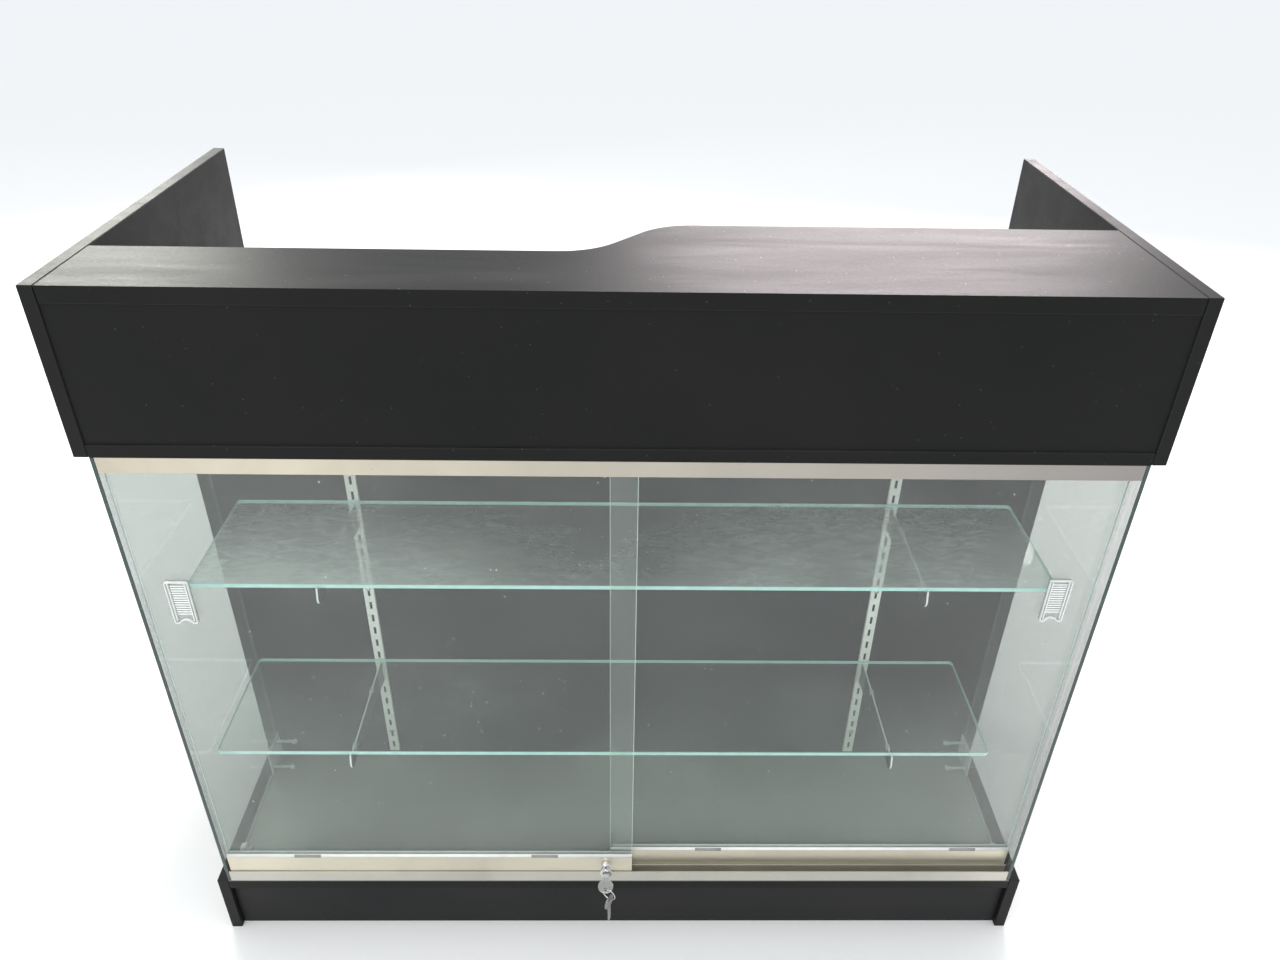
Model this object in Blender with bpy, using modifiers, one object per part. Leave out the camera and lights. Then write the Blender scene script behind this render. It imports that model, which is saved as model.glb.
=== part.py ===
"""Ledge-top checkout counter with a glass display showcase front.

A free-standing shop counter in black laminate. The customer side is a glass showcase with two
by-passing sliding doors, two glass shelves on knife brackets and a plunger lock with its keys.
The clerk side is open, with a sunken work surface behind a raised ledge.

Frame: metres, +Z up, customer side towards -Y, origin at the bottom centre of the whole object.
Depths below are measured from the counter's front plane towards the clerk side.
"""

import math

import bmesh
import bpy
from mathutils import Vector

# Overall size.
WIDTH = 1.219
DEPTH = 0.555
HEIGHT = 1.057
KEY_REACH = 0.0534
FRONT_Y = (KEY_REACH - DEPTH) / 2

# Boards.
BOARD = 0.016
LEDGE_THICKNESS = 0.019
DECK_THICKNESS = 0.018
BASE_HEIGHT = 0.114
FASCIA_ZONE = 0.200
FASCIA_RECESS = 0.0025
KICK_RECESS = 0.0095
REAR_KICK_RECESS = 0.040
LEDGE_DEPTH_LEFT = 0.1205
LEDGE_DEPTH_RIGHT = 0.217
LEDGE_SIDE_JOINT = 0.0012
SWEEP_START_X = -0.077
SWEEP_RADIUS = 0.080
SWEEP_ANGLE = math.radians(50)
EDGE_ROUND = 0.0008
CLEARANCE = 0.0003

# Display case.
DISPLAY_DEPTH = 0.256
PANE = 0.005
SHELF_LENGTH = 1.118
SHELF_DEPTH = 0.195
SHELF_THICKNESS = 0.006
SHELF_CORNER = 0.006
UPPER_SHELF_Z = 0.632
LOWER_SHELF_PITCHES = 12
UPPER_SHELF_X = 0.003
LOWER_SHELF_X = -0.0245
SHELF_REAR_GAP = 0.0012

# Shelf hardware.
STANDARD_X = 0.391
STANDARD_WIDTH = 0.016
STANDARD_DEPTH = 0.005
STANDARD_WALL = 0.0012
STANDARD_BOTTOM = 0.122
STANDARD_TOP = 0.850
SLOT_PITCH = 0.0254
SLOT_HEIGHT = 0.014
SLOT_WIDTH = 0.004
SLOTS_ABOVE = 8
SLOTS_BELOW = 19
BRACKET_THICKNESS = 0.0024
BRACKET_HEIGHT = 0.042
BRACKET_HOOK_DROP = 0.0105
CUSHION_TOP = 0.001
CUSHION_WIDTH = 0.0054
CUSHION_LENGTH = 0.008

# Door tracks and doors.
TRACK_HEIGHT = 0.020
TRACK_START = 0.0005
TRACK_LIP = 0.0014
TRACK_CHANNEL = 0.0109
TRACK_FLOOR = 0.0015
TRACK_RIDGE_WIDTH = 0.0016
TRACK_RIDGE_HEIGHT = 0.003
DOOR_PITCH = TRACK_LIP + TRACK_CHANNEL
FRONT_DOOR_DEPTH = TRACK_START + TRACK_LIP + TRACK_CHANNEL / 2
REAR_DOOR_DEPTH = FRONT_DOOR_DEPTH + DOOR_PITCH
DOOR_GLASS = 0.005
DOOR_GLASS_TOP = 0.849
DOOR_END_GAP = 0.0032
FRONT_DOOR_INNER_X = 0.0155
REAR_DOOR_INNER_X = -0.0175
RAIL_WIDTH = 0.0094
RAIL_WALL = 0.0012
RAIL_BOTTOM = 0.119
RAIL_TOP = 0.166
RAIL_WEB_BOTTOM = 0.1556
RAIL_WEB = 0.0012
ROLLER_INSET = 0.075
ROLLER_TREAD = 0.007
ROLLER_FLANGE = 0.008
ROLLER_WIDTH = 0.0044
ROLLER_BORE = 0.0018
AXLE_RADIUS = 0.0015
PULL_WIDTH = 0.028
PULL_HEIGHT = 0.064
PULL_DEPTH = 0.0055
PULL_WEB = 0.0015
PULL_RIB = 0.003
PULL_X = 0.539
PULL_Z = 0.651

# Lock and keys. Lengths along the lock run from the door rail's face towards the customer.
LOCK_X = -0.0232
LOCK_Z = 0.150
HUB_RADIUS = 0.0082
HUB_BORE = 0.007
HUB_LENGTH = 0.008
SHANK_RADIUS = 0.005
SHANK_BORE = 0.0033
SHANK_DEPTH = 0.007
PLUNGER_RADIUS = 0.0067
PLUNGER_FLANGE_RADIUS = 0.0093
PLUNGER_FLANGE = 0.0018
PLUNGER_FRONT = 0.0161
PLUNGER_REAR = 0.0075
PIN_RADIUS = 0.0025
PIN_TIP = -0.006
PLUG_RADIUS = 0.0043
PLUG_BORE = 0.0046
PLUG_REAR = 0.0098
KEY_THICKNESS = 0.0018
KEY_BLADE_WIDTH = 0.007
KEY_BOW_RADIUS = 0.01125
KEY_HOLE_RADIUS = 0.003
KEY_HOLE_OFFSET = 0.0054
KEY_NECK = 0.0102
SPARE_BLADE = 0.032
RING_RADIUS = 0.0098
RING_WIRE = 0.0008
RING_TURN = math.radians(30)

# Rear storage bay.
STORAGE_SHELF_Z = 0.450
STORAGE_SHELF_FRONT = 0.275
STORAGE_SHELF_REAR = 0.540
PIN_HOLE_DEPTH = 0.008
SHELF_PIN_RADIUS = 0.0025
SHELF_PIN_REACH = 0.009
SHELF_PIN_INSET = 0.045

# Heights and widths that follow from the sizes above.
HALF_WIDTH = WIDTH / 2
INNER_X = HALF_WIDTH - BOARD
COUNTER_UNDERSIDE = HEIGHT - FASCIA_ZONE
LEDGE_UNDERSIDE = HEIGHT - LEDGE_THICKNESS
PANE_INNER_X = INNER_X - CLEARANCE - PANE
STANDARD_FACE = DISPLAY_DEPTH - CLEARANCE - STANDARD_DEPTH
BRACKET_TOP_GAP = CUSHION_TOP + 2 * CLEARANCE
AXLE_Z = BASE_HEIGHT + CLEARANCE + TRACK_FLOOR + TRACK_RIDGE_HEIGHT + CLEARANCE + ROLLER_TREAD
RAIL_FACE_DEPTH = FRONT_DOOR_DEPTH - RAIL_WIDTH / 2
KEY_BOW_CENTRE = PLUNGER_FRONT + KEY_NECK + KEY_BOW_RADIUS
KEY_HOLE_CENTRE = KEY_BOW_CENTRE + KEY_HOLE_OFFSET

COLLECTION_NAME = "checkout_showcase"
CUTTER_COLLECTION_NAME = "checkout_showcase_cutters"

# An extruded outline lies in its own XY plane. These turns stand it up.
ALONG_X = (math.radians(90), 0, math.radians(90))
ALONG_Y = (math.radians(90), 0, 0)
FLAT = (0, 0, 0)


def clear_scene():
    for obj in list(bpy.data.objects):
        bpy.data.objects.remove(obj, do_unlink=True)


def new_collection(name):
    collection = bpy.data.collections.new(name)
    bpy.context.scene.collection.children.link(collection)
    return collection


def place(x, depth, z):
    """World position from a sideways place, a depth behind the front plane and a height."""
    return Vector((x, FRONT_Y + depth, z))


def make_material(name, colour, roughness, metallic=0.0, alpha=1.0):
    material = bpy.data.materials.new(name)
    material.use_nodes = True
    shader = material.node_tree.nodes["Principled BSDF"]
    shader.inputs["Base Color"].default_value = (*colour, 1.0)
    shader.inputs["Roughness"].default_value = roughness
    shader.inputs["Metallic"].default_value = metallic
    shader.inputs["Alpha"].default_value = alpha
    material.diffuse_color = (*colour, alpha)
    return material


def add_object(name, data, material, location, rotation=FLAT):
    obj = bpy.data.objects.new(name, data)
    obj.location = location
    obj.rotation_euler = rotation
    if material is not None:
        obj.data.materials.append(material)
    PARTS.objects.link(obj)
    return obj


def round_edges(obj, width=EDGE_ROUND):
    bevel = obj.modifiers.new("edge_round", "BEVEL")
    bevel.width = width
    bevel.segments = 1
    bevel.limit_method = "ANGLE"
    bevel.angle_limit = math.radians(40)
    return obj


def box_mesh(name, size):
    mesh = bpy.data.meshes.new(name)
    shape = bmesh.new()
    bmesh.ops.create_cube(shape, size=1.0)
    bmesh.ops.scale(shape, vec=size, verts=shape.verts)
    shape.to_mesh(mesh)
    shape.free()
    return mesh


def block(name, x_span, depth_span, z_span, material):
    """A board or slab between two sideways places, two depths and two heights."""
    low = place(x_span[0], depth_span[0], z_span[0])
    high = place(x_span[1], depth_span[1], z_span[1])
    return add_object(name, box_mesh(name, high - low), material, (low + high) / 2)


def cylinder(name, radius, length, material, location, rotation, sides=20):
    """A solid pin centred on its location, along its own Z axis."""
    mesh = bpy.data.meshes.new(name)
    shape = bmesh.new()
    bmesh.ops.create_cone(
        shape,
        cap_ends=True,
        segments=sides,
        radius1=radius,
        radius2=radius,
        depth=length,
    )
    shape.to_mesh(mesh)
    shape.free()
    mesh.shade_smooth()
    mesh.set_sharp_from_angle(angle=math.radians(40))
    return add_object(name, mesh, material, location, rotation)


def ball(name, radius, material, location):
    mesh = bpy.data.meshes.new(name)
    shape = bmesh.new()
    bmesh.ops.create_uvsphere(shape, u_segments=12, v_segments=8, radius=radius)
    shape.to_mesh(mesh)
    shape.free()
    mesh.shade_smooth()
    return add_object(name, mesh, material, location)


def extrusion(name, outlines, length, material, location, rotation=FLAT):
    """A flat outline, with any holes as further outlines, drawn out to a length."""
    curve = bpy.data.curves.new(name, "CURVE")
    curve.dimensions = "2D"
    curve.fill_mode = "BOTH"
    curve.extrude = length / 2
    for outline in outlines:
        spline = curve.splines.new("POLY")
        spline.points.add(len(outline) - 1)
        for point, (u, v) in zip(spline.points, outline):
            point.co = (u, v, 0, 1)
        spline.use_cyclic_u = True
    guide = add_object(name + "_outline", curve, None, location, rotation)
    bpy.context.view_layer.update()
    mesh = bpy.data.meshes.new_from_object(guide.evaluated_get(bpy.context.evaluated_depsgraph_get()))
    shape = bmesh.new()
    shape.from_mesh(mesh)
    bmesh.ops.remove_doubles(shape, verts=shape.verts, dist=0.00001)
    shape.to_mesh(mesh)
    shape.free()
    bpy.data.objects.remove(guide, do_unlink=True)
    mesh.name = name
    mesh.materials.clear()
    return add_object(name, mesh, material, location, rotation)


def turned(name, profile, material, location, rotation, sides=28):
    """A ring or tube: a closed profile of (radius, height) turned about its own Z axis."""
    mesh = bpy.data.meshes.new(name)
    shape = bmesh.new()
    corners = [shape.verts.new((radius, 0, height)) for radius, height in profile]
    for index, corner in enumerate(corners):
        shape.edges.new((corner, corners[(index + 1) % len(corners)]))
    shape.to_mesh(mesh)
    shape.free()
    obj = add_object(name, mesh, material, location, rotation)
    screw = obj.modifiers.new("turn", "SCREW")
    screw.steps = sides
    screw.render_steps = sides
    screw.use_merge_vertices = True
    screw.merge_threshold = 0.00001
    screw.use_smooth_shade = True
    return obj


def as_cutter(obj):
    PARTS.objects.unlink(obj)
    CUTTERS.objects.link(obj)
    obj.hide_render = True
    obj.display_type = "WIRE"
    return obj


def combine(obj, other, operation):
    """Cut another shape out of an object, or join it on."""
    boolean = obj.modifiers.new(operation.lower(), "BOOLEAN")
    boolean.operation = operation
    boolean.solver = "EXACT"
    boolean.object = as_cutter(other)
    return obj


def arc(centre_u, centre_v, radius, start, end, count):
    """Points along an arc, both ends included, angles in degrees."""
    points = []
    for index in range(count + 1):
        angle = math.radians(start + (end - start) * index / count)
        points.append((centre_u + radius * math.cos(angle), centre_v + radius * math.sin(angle)))
    return points


def circle(centre_u, centre_v, radius, count):
    return arc(centre_u, centre_v, radius, 0, 360, count)[:-1]


def rectangle(u_span, v_span):
    return [
        (u_span[0], v_span[0]),
        (u_span[1], v_span[0]),
        (u_span[1], v_span[1]),
        (u_span[0], v_span[1]),
    ]


# ---- Carcass -----------------------------------------------------------------------------------


def side_board(name, side, laminate):
    """A side panel, cut away at the front where the glass pane takes its place."""
    notch = DISPLAY_DEPTH + CLEARANCE
    outline = [
        (0, 0),
        (DEPTH, 0),
        (DEPTH, HEIGHT),
        (0, HEIGHT),
        (0, COUNTER_UNDERSIDE),
        (notch, COUNTER_UNDERSIDE),
        (notch, BASE_HEIGHT),
        (0, BASE_HEIGHT),
    ]
    centre_x = side * (HALF_WIDTH - BOARD / 2)
    board = extrusion(name, [outline], BOARD, laminate, place(centre_x, 0, 0), ALONG_X)
    for depth in storage_pin_depths():
        hole = cylinder(
            name + "_pin_hole",
            SHELF_PIN_RADIUS + CLEARANCE,
            2 * PIN_HOLE_DEPTH,
            None,
            place(side * INNER_X, depth, storage_pin_height()),
            (0, math.radians(90), 0),
            sides=12,
        )
        combine(board, hole, "DIFFERENCE")
    return round_edges(board)


def carcass(laminate):
    side_board("left_side_board", -1, laminate)
    side_board("right_side_board", 1, laminate)
    between = (-INNER_X + CLEARANCE, INNER_X - CLEARANCE)
    deck_underside = BASE_HEIGHT - DECK_THICKNESS
    kick_top = deck_underside - CLEARANCE
    front_kick = (KICK_RECESS, KICK_RECESS + BOARD)
    rear_kick = (DEPTH - REAR_KICK_RECESS - BOARD, DEPTH - REAR_KICK_RECESS)
    fascia = (FASCIA_RECESS, FASCIA_RECESS + BOARD)
    counter_top = COUNTER_UNDERSIDE + BOARD
    display_back = (DISPLAY_DEPTH, DISPLAY_DEPTH + BOARD)
    fascia_height = (counter_top + CLEARANCE, LEDGE_UNDERSIDE - CLEARANCE)
    back_height = (BASE_HEIGHT + CLEARANCE, COUNTER_UNDERSIDE - CLEARANCE)
    round_edges(block("deck_board", between, (0, DEPTH), (deck_underside, BASE_HEIGHT), laminate))
    round_edges(block("front_kick_board", between, front_kick, (0, kick_top), laminate))
    round_edges(block("rear_kick_board", between, rear_kick, (0, kick_top), laminate))
    round_edges(block("work_surface", between, (0, DEPTH), (COUNTER_UNDERSIDE, counter_top), laminate))
    block("fascia_panel", between, fascia, fascia_height, laminate)
    block("display_back_panel", between, display_back, back_height, laminate)


def ledge_top(laminate):
    """The raised ledge. Its clerk-side edge sweeps from a narrow shelf to a deep one."""
    half = INNER_X - LEDGE_SIDE_JOINT
    degrees = math.degrees(SWEEP_ANGLE)
    arc_rise = SWEEP_RADIUS * (1 - math.cos(SWEEP_ANGLE))
    arc_run = SWEEP_RADIUS * math.sin(SWEEP_ANGLE)
    straight_rise = LEDGE_DEPTH_RIGHT - LEDGE_DEPTH_LEFT - 2 * arc_rise
    sweep_end_x = SWEEP_START_X + 2 * arc_run + straight_rise / math.tan(SWEEP_ANGLE)
    first_centre = (SWEEP_START_X, LEDGE_DEPTH_LEFT + SWEEP_RADIUS)
    second_centre = (sweep_end_x, LEDGE_DEPTH_RIGHT - SWEEP_RADIUS)
    outline = [(-half, 0), (half, 0), (half, LEDGE_DEPTH_RIGHT)]
    outline += arc(*second_centre, SWEEP_RADIUS, 90, 90 + degrees, 8)
    outline += arc(*first_centre, SWEEP_RADIUS, degrees - 90, -90, 8)
    outline += [(-half, LEDGE_DEPTH_LEFT)]
    centre = place(0, 0, HEIGHT - LEDGE_THICKNESS / 2)
    return round_edges(extrusion("ledge_top", [outline], LEDGE_THICKNESS, laminate, centre))


def storage_pin_depths():
    return (STORAGE_SHELF_FRONT + SHELF_PIN_INSET, STORAGE_SHELF_REAR - SHELF_PIN_INSET)


def storage_pin_height():
    return STORAGE_SHELF_Z - SHELF_PIN_RADIUS - CLEARANCE


def storage_shelf(laminate, steel):
    """The clerk-side shelf, resting on four pins that plug into the side boards."""
    width = INNER_X - 2 * CLEARANCE
    depths = (STORAGE_SHELF_FRONT, STORAGE_SHELF_REAR)
    heights = (STORAGE_SHELF_Z, STORAGE_SHELF_Z + BOARD)
    block("storage_shelf", (-width, width), depths, heights, laminate)
    length = SHELF_PIN_REACH + PIN_HOLE_DEPTH - 2 * CLEARANCE
    for side, side_name in ((-1, "left"), (1, "right")):
        for depth, end_name in zip(storage_pin_depths(), ("front", "rear")):
            centre_x = side * (INNER_X + PIN_HOLE_DEPTH - 2 * CLEARANCE - length / 2)
            cylinder(
                f"storage_pin_{side_name}_{end_name}",
                SHELF_PIN_RADIUS,
                length,
                steel,
                place(centre_x, depth, storage_pin_height()),
                (0, math.radians(90), 0),
                sides=12,
            )


# ---- Display case ------------------------------------------------------------------------------


def glass_panes(glass):
    outer = INNER_X - CLEARANCE
    depths = (2 * TRACK_START, DISPLAY_DEPTH - CLEARANCE)
    heights = (BASE_HEIGHT + CLEARANCE, COUNTER_UNDERSIDE - CLEARANCE)
    round_edges(block("left_glass_pane", (-outer, -PANE_INNER_X), depths, heights, glass), 0.0006)
    round_edges(block("right_glass_pane", (PANE_INNER_X, outer), depths, heights, glass), 0.0006)


def shelf_standard(name, x, steel):
    """A slotted channel screwed upright on the display back."""
    half = STANDARD_WIDTH / 2
    inner = half - STANDARD_WALL
    outline = [
        (-half, 0),
        (half, 0),
        (half, STANDARD_DEPTH),
        (inner, STANDARD_DEPTH),
        (inner, STANDARD_WALL),
        (-inner, STANDARD_WALL),
        (-inner, STANDARD_DEPTH),
        (-half, STANDARD_DEPTH),
    ]
    centre = place(x, STANDARD_FACE, (STANDARD_TOP + STANDARD_BOTTOM) / 2)
    length = STANDARD_TOP - STANDARD_BOTTOM
    standard = extrusion(name, [outline], length, steel, centre)
    slots = bmesh.new()
    for index in range(-SLOTS_BELOW, SLOTS_ABOVE + 1):
        slot = bmesh.ops.create_cube(slots, size=1.0)["verts"]
        bmesh.ops.scale(slots, vec=(SLOT_WIDTH, 4 * STANDARD_WALL, SLOT_HEIGHT), verts=slot)
        height = top_slot_z() + index * SLOT_PITCH - centre.z
        bmesh.ops.translate(slots, vec=(0, STANDARD_WALL / 2, height), verts=slot)
    mesh = bpy.data.meshes.new(name + "_slots")
    slots.to_mesh(mesh)
    slots.free()
    return combine(standard, add_object(name + "_slots", mesh, None, centre), "DIFFERENCE")


def top_slot_z():
    """Height of the slot that takes the upper hook of the upper shelf's brackets."""
    return UPPER_SHELF_Z - BRACKET_TOP_GAP - BRACKET_HOOK_DROP


def bracket_outline(shelf_front):
    """A knife bracket from the side: (depth, height above its top edge)."""
    rear = STANDARD_FACE - CLEARANCE
    hook_start = STANDARD_FACE + STANDARD_WALL + CLEARANCE
    hook_end = hook_start + 0.0023
    lip_back = shelf_front - 2 * CLEARANCE
    lip_front = lip_back - 0.0045
    nose = arc(lip_front + 0.009, -0.0105, 0.0125, 150, 255, 7)
    outline = [(rear, 0), (lip_back, 0), (lip_back, 0.0045), (lip_front, 0.0045)]
    outline += nose
    outline += [(lip_front + 0.030, -0.019), (rear, -BRACKET_HEIGHT)]
    for slot in (BRACKET_HOOK_DROP + SLOT_PITCH, BRACKET_HOOK_DROP):
        outline += [
            (rear, -slot - 0.004),
            (hook_start, -slot - 0.004),
            (hook_start, -slot - 0.0095),
            (hook_end, -slot - 0.0095),
            (hook_end, -slot + 0.004),
            (rear, -slot + 0.004),
        ]
    return outline


def bracket_with_cushions(name, x, shelf_underside, shelf_front, steel, rubber):
    top = shelf_underside - BRACKET_TOP_GAP
    centre = place(x, 0, top)
    extrusion(name, [bracket_outline(shelf_front)], BRACKET_THICKNESS, steel, centre, ALONG_X)
    slot_half = BRACKET_THICKNESS / 2 + CLEARANCE
    half = CUSHION_WIDTH / 2
    saddle = [
        (-half, -0.004),
        (-slot_half, -0.004),
        (-slot_half, CLEARANCE),
        (slot_half, CLEARANCE),
        (slot_half, -0.004),
        (half, -0.004),
        (half, CLEARANCE + CUSHION_TOP),
        (-half, CLEARANCE + CUSHION_TOP),
    ]
    for label, share in (("front", 0.10), ("rear", 0.68)):
        depth = shelf_front + share * SHELF_DEPTH
        spot = place(x, depth, top)
        extrusion(f"{name}_{label}_cushion", [saddle], CUSHION_LENGTH, rubber, spot, ALONG_Y)


def glass_shelf(name, x, underside, shelf_front, glass):
    """A loose glass shelf with eased corners."""
    half = SHELF_LENGTH / 2
    rear = shelf_front + SHELF_DEPTH
    inset = half - SHELF_CORNER
    front_inset = shelf_front + SHELF_CORNER
    rear_inset = rear - SHELF_CORNER
    outline = arc(inset, rear_inset, SHELF_CORNER, 0, 90, 3)
    outline += arc(-inset, rear_inset, SHELF_CORNER, 90, 180, 3)
    outline += arc(-inset, front_inset, SHELF_CORNER, 180, 270, 3)
    outline += arc(inset, front_inset, SHELF_CORNER, 270, 360, 3)
    centre = place(x, 0, underside + SHELF_THICKNESS / 2)
    return round_edges(extrusion(name, [outline], SHELF_THICKNESS, glass, centre), 0.0006)


def shelving(glass, steel, rubber):
    shelf_front = STANDARD_FACE - SHELF_REAR_GAP - SHELF_DEPTH
    lower_shelf_z = UPPER_SHELF_Z - LOWER_SHELF_PITCHES * SLOT_PITCH
    for side, side_name in ((-1, "left"), (1, "right")):
        x = side * STANDARD_X
        shelf_standard(f"{side_name}_standard", x, steel)
        for level, underside in (("upper", UPPER_SHELF_Z), ("lower", lower_shelf_z)):
            name = f"{level}_{side_name}_bracket"
            bracket_with_cushions(name, x, underside, shelf_front, steel, rubber)
    glass_shelf("upper_glass_shelf", UPPER_SHELF_X, UPPER_SHELF_Z, shelf_front, glass)
    glass_shelf("lower_glass_shelf", LOWER_SHELF_X, lower_shelf_z, shelf_front, glass)


def corner_clamp(name, side, clear_plastic):
    """A clear clamp at the foot of a pane: a plate with two ball-ended pins."""
    inner = side * (PANE_INNER_X - CLEARANCE)
    plate_face = inner - side * 0.0025
    base = BASE_HEIGHT + CLEARANCE
    spans = tuple(sorted((inner, plate_face)))
    clamp = block(name, spans, (0.204, 0.2552), (base, base + 0.045), clear_plastic)
    length = 0.030
    for depth, height in ((0.242, base + 0.038), (0.213, base + 0.0095)):
        middle = place(plate_face - side * (length / 2 - 0.001), depth, height)
        pin = cylinder(name + "_pin", 0.0024, length, None, middle, (0, math.radians(90), 0), 12)
        end = ball(name + "_ball", 0.0046, None, place(plate_face - side * length, depth, height))
        combine(clamp, pin, "UNION")
        combine(clamp, end, "UNION")
    return clamp


def front_corner_clip(name, side, white_plastic):
    """A small hooked clip that holds the front foot of a pane to the deck."""
    outline = [
        (0, 0),
        (0.014, 0),
        (0.014, 0.005),
        (0.0105, 0.0055),
        (0.0045, 0.0035),
        (0.004, 0.009),
        (0.010, 0.013),
        (0.0085, 0.016),
        (0, 0.013),
    ]
    mirrored = [(-side * u, v) for u, v in outline]
    if side > 0:
        mirrored.reverse()
    spot = place(side * (PANE_INNER_X - CLEARANCE), 0.052, BASE_HEIGHT + CLEARANCE)
    return extrusion(name, [mirrored], 0.010, white_plastic, spot, ALONG_Y)


# ---- Tracks and doors --------------------------------------------------------------------------


def track_outline(ridges):
    """Double channel section: (depth from its front face, height from its closed side)."""
    near = [0, TRACK_LIP]
    middle = [DOOR_PITCH, DOOR_PITCH + TRACK_LIP]
    far = [2 * DOOR_PITCH, 2 * DOOR_PITCH + TRACK_LIP]
    outline = [(near[0], 0), (near[0], TRACK_HEIGHT), (near[1], TRACK_HEIGHT)]
    for left, right in ((near[1], middle[0]), (middle[1], far[0])):
        outline.append((left, TRACK_FLOOR))
        if ridges:
            centre = (left + right) / 2
            ridge_left = centre - TRACK_RIDGE_WIDTH / 2
            ridge_right = centre + TRACK_RIDGE_WIDTH / 2
            ridge_top = TRACK_FLOOR + TRACK_RIDGE_HEIGHT
            outline.append((ridge_left, TRACK_FLOOR))
            outline.append((ridge_left, ridge_top))
            outline.append((ridge_right, ridge_top))
            outline.append((ridge_right, TRACK_FLOOR))
        outline.append((right, TRACK_FLOOR))
        outline.append((right, TRACK_HEIGHT))
        outline.append((right + TRACK_LIP, TRACK_HEIGHT))
    outline.append((far[1], 0))
    return outline


def tracks(aluminium):
    length = 2 * (PANE_INNER_X - 2 * CLEARANCE)
    foot = place(0, TRACK_START, BASE_HEIGHT + CLEARANCE)
    head = place(0, TRACK_START, COUNTER_UNDERSIDE - CLEARANCE)
    upside_down = [(u, -v) for u, v in track_outline(ridges=False)]
    upside_down.reverse()
    extrusion("bottom_track", [track_outline(ridges=True)], length, aluminium, foot, ALONG_X)
    extrusion("top_track", [upside_down], length, aluminium, head, ALONG_X)


def rail_outline():
    """Door rail section: a glass pocket above a web, an open wheel box below."""
    half = RAIL_WIDTH / 2
    inner = half - RAIL_WALL
    web_top = RAIL_WEB_BOTTOM + RAIL_WEB
    return [
        (-half, RAIL_BOTTOM),
        (-inner, RAIL_BOTTOM),
        (-inner, RAIL_WEB_BOTTOM),
        (inner, RAIL_WEB_BOTTOM),
        (inner, RAIL_BOTTOM),
        (half, RAIL_BOTTOM),
        (half, RAIL_TOP),
        (inner, RAIL_TOP),
        (inner, web_top),
        (-inner, web_top),
        (-inner, RAIL_TOP),
        (-half, RAIL_TOP),
    ]


def roller(name, x, depth, plastic):
    """A grooved wheel that runs on the track's ridge. It turns about its own Z axis."""
    half = ROLLER_WIDTH / 2
    groove = TRACK_RIDGE_WIDTH / 2 + CLEARANCE
    profile = [
        (ROLLER_FLANGE, half),
        (ROLLER_FLANGE, groove + 0.0004),
        (ROLLER_TREAD, groove),
        (ROLLER_TREAD, -groove),
        (ROLLER_FLANGE, -groove - 0.0004),
        (ROLLER_FLANGE, -half),
        (ROLLER_BORE, -half),
        (ROLLER_BORE, half),
    ]
    return turned(name, profile, plastic, place(x, depth, AXLE_Z), ALONG_Y, sides=24)


def sliding_door(side_name, x_span, depth, materials):
    """One glass door in its bottom rail, with two rollers on their axles and a finger pull."""
    length = x_span[1] - x_span[0]
    middle = (x_span[0] + x_span[1]) / 2
    rail_name = f"{side_name}_door_rail"
    rail_centre = place(middle, depth, 0)
    rail = extrusion(rail_name, [rail_outline()], length, materials["aluminium"], rail_centre, ALONG_X)
    for label, x in (("outer", 0), ("inner", 1)):
        wheel_x = x_span[0] + ROLLER_INSET if (x == 0) == (middle < 0) else x_span[1] - ROLLER_INSET
        axle_spot = place(wheel_x, depth, AXLE_Z)
        hole = cylinder(rail_name + "_hole", AXLE_RADIUS + CLEARANCE, 0.02, None, axle_spot, ALONG_Y, 12)
        combine(rail, hole, "DIFFERENCE")
        axle_name = f"{side_name}_door_{label}_axle"
        axle_length = RAIL_WIDTH - 2 * CLEARANCE
        cylinder(axle_name, AXLE_RADIUS, axle_length, materials["steel"], axle_spot, ALONG_Y, 12)
        roller(f"{side_name}_door_{label}_roller", wheel_x, depth, materials["wheel"])
    glass_depths = (depth - DOOR_GLASS / 2, depth + DOOR_GLASS / 2)
    glass_heights = (RAIL_WEB_BOTTOM + RAIL_WEB + CLEARANCE, DOOR_GLASS_TOP)
    pane_name = f"{side_name}_door_glass"
    round_edges(block(pane_name, x_span, glass_depths, glass_heights, materials["glass"]), 0.0006)
    finger_pull(f"{side_name}_finger_pull", middle, glass_depths[0], materials["clear"])
    return rail


def finger_pull(name, door_middle, glass_face, clear_plastic):
    """A clear stick-on pull: a back plate between two upright ribs."""
    half = PULL_WIDTH / 2
    inner = half - PULL_RIB
    back = -CLEARANCE
    outline = [
        (-half, back),
        (-half, back - PULL_DEPTH),
        (-inner, back - PULL_DEPTH),
        (-inner, back - PULL_WEB),
        (inner, back - PULL_WEB),
        (inner, back - PULL_DEPTH),
        (half, back - PULL_DEPTH),
        (half, back),
    ]
    x = math.copysign(PULL_X, door_middle)
    spot = place(x, glass_face, PULL_Z)
    return round_edges(extrusion(name, [outline], PULL_HEIGHT, clear_plastic, spot), 0.0005)


def doors(materials):
    outer = PANE_INNER_X - DOOR_END_GAP
    left_span = (-outer, FRONT_DOOR_INNER_X)
    right_span = (REAR_DOOR_INNER_X, outer)
    left_rail = sliding_door("left", left_span, FRONT_DOOR_DEPTH, materials)
    sliding_door("right", right_span, REAR_DOOR_DEPTH, materials)
    front_wall = place(LOCK_X, RAIL_FACE_DEPTH, LOCK_Z)
    rear_wall = place(LOCK_X, RAIL_FACE_DEPTH + RAIL_WIDTH, LOCK_Z)
    shank_hole = SHANK_RADIUS + CLEARANCE
    cutter_length = 4 * RAIL_WALL
    for spot, radius in ((front_wall, shank_hole), (rear_wall, SHANK_BORE)):
        hole = cylinder("lock_hole", radius, cutter_length, None, spot, ALONG_Y, 20)
        combine(left_rail, hole, "DIFFERENCE")


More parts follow.
